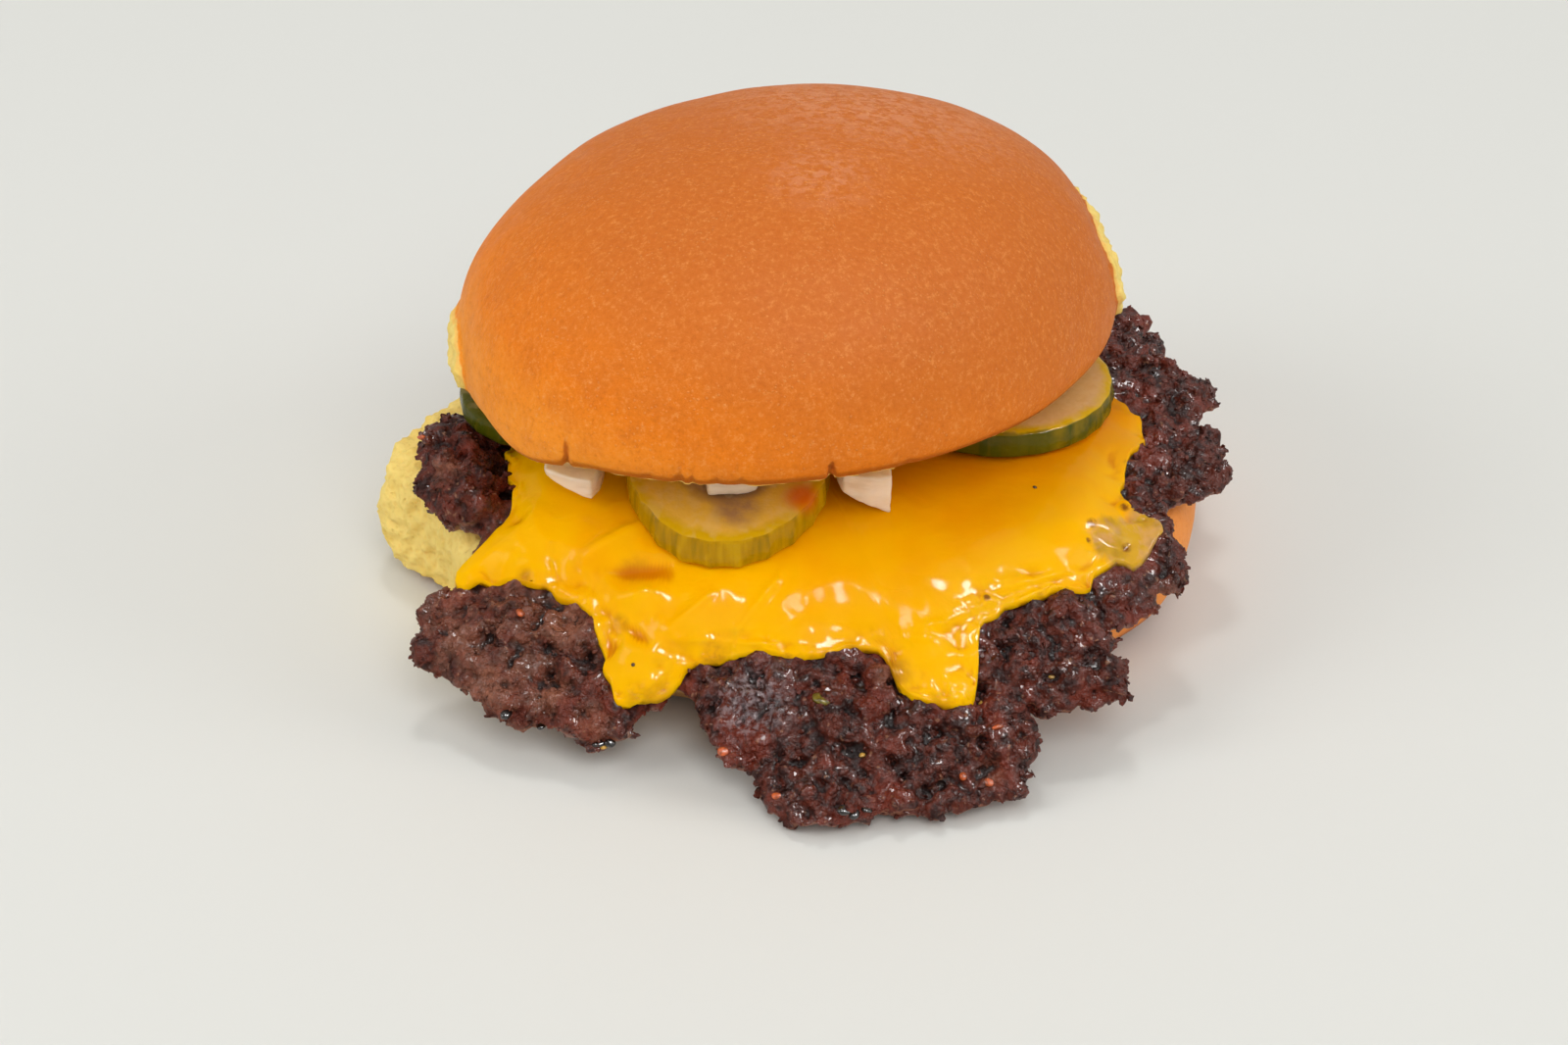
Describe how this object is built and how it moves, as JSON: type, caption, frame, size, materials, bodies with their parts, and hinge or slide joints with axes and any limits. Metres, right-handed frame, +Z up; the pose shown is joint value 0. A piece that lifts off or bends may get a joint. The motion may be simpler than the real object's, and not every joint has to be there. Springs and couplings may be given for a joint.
{
  "type": "cheeseburger",
  "caption": "Cheeseburger in a soft roll: a wide smashed beef patty and a melted slice of cheese hang over the lower bun, with pickle chips and diced onion under the domed top.",
  "frame": {"origin": "under the middle of the burger's bounding box, on the surface it stands on", "axes": "+Z up through the roll, -Y to the front where the patty hangs lowest, +X to the right seen from the front"},
  "size_m": [0.1262, 0.1242, 0.0726],
  "materials": {
    "bun": "satin baked crust, with pale yellow crumb where it was torn",
    "beef": "craggy seared mince, glossy with fat",
    "cheese": "melted, smooth and glossy",
    "pickle": "wet flesh with a dark green ridged skin",
    "onion": "wet and translucent"
  },
  "bodies": {
    "root": {"bun_heel": "bun", "patty": "beef", "cheese": "cheese", "pickle_front": "pickle", "pickle_right": "pickle", "pickle_left": "pickle", "onion_left": "onion", "onion_middle": "onion", "onion_right": "onion", "bun_crown": "bun"}
  },
  "joints": []
}
